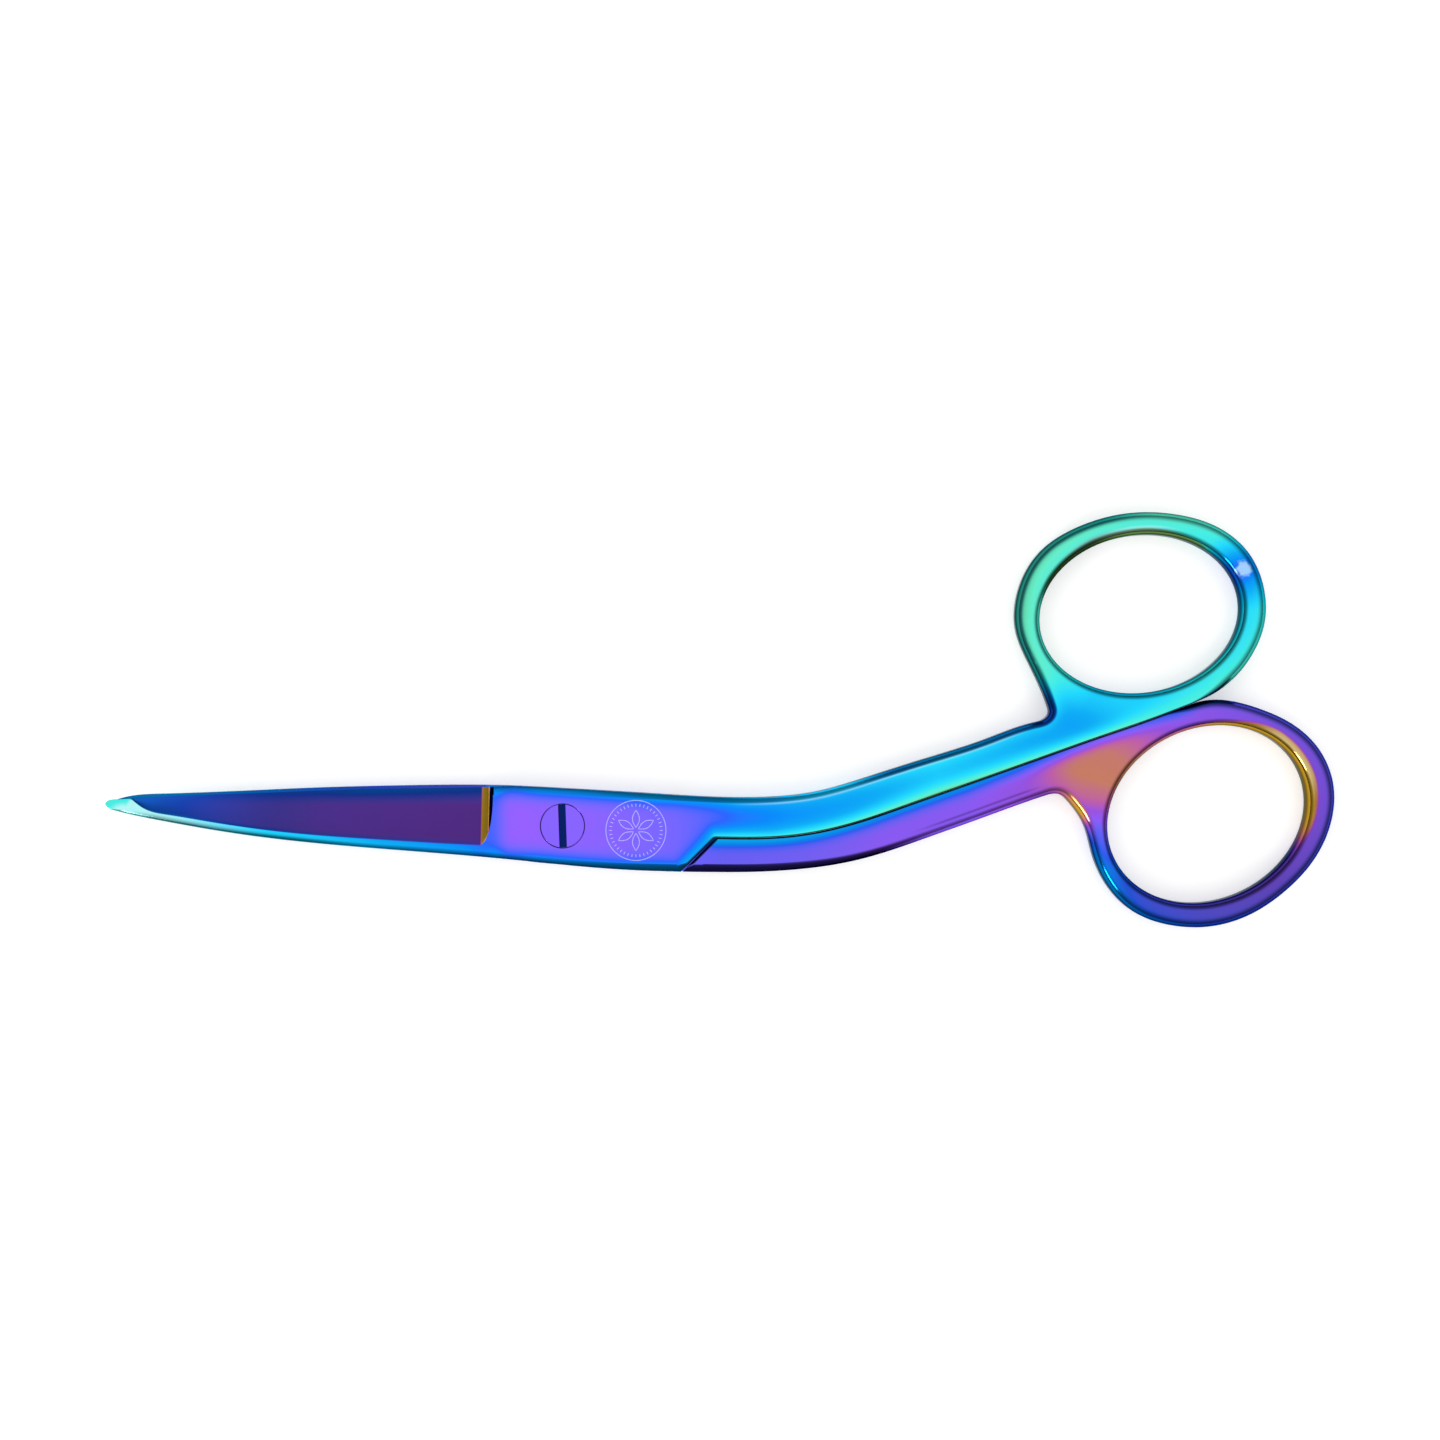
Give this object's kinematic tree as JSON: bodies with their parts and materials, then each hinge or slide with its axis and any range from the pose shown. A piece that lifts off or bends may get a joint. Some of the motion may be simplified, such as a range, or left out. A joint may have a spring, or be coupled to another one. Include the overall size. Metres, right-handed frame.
{
  "type": "thinning shears",
  "caption": "Bent-shank hairdresser's thinning shears: plain blade over a comb blade, flush slotted pivot screw, oval finger rings, rainbow coated steel.",
  "frame": {"origin": "on the pivot axis, in the outer face of the comb half's lap joint, which is the face the closed shears rest on", "axes": "+X from the pivot towards the finger rings, +Y towards the plain half's ring, +Z from the resting face towards the screw head"},
  "size_m": [0.1522, 0.0514, 0.0044],
  "materials": {
    "rainbow_steel": "polished steel with a rainbow titanium coating",
    "rainbow_screw": "fine-turned steel with the same rainbow coating",
    "washer_nylon": "natural nylon"
  },
  "bodies": {
    "comb_half": {"comb_blade_half": "rainbow_steel"},
    "plain_half": {"plain_blade_half": "rainbow_steel", "pivot_washer": "washer_nylon"},
    "screw": {"pivot_screw": "rainbow_screw"}
  },
  "joints": [
    {"name": "blade_pivot", "type": "hinge", "parent": "comb_half", "child": "plain_half", "pos_m": [0, 0, 0.0022], "axis": [0, 0, 1], "range_deg": [0, 90]},
    {"name": "tension_screw", "type": "hinge", "parent": "comb_half", "child": "screw", "pos_m": [0, 0, 0.0022], "axis": [0, 0, 1], "range_deg": [-45, 45]}
  ]
}
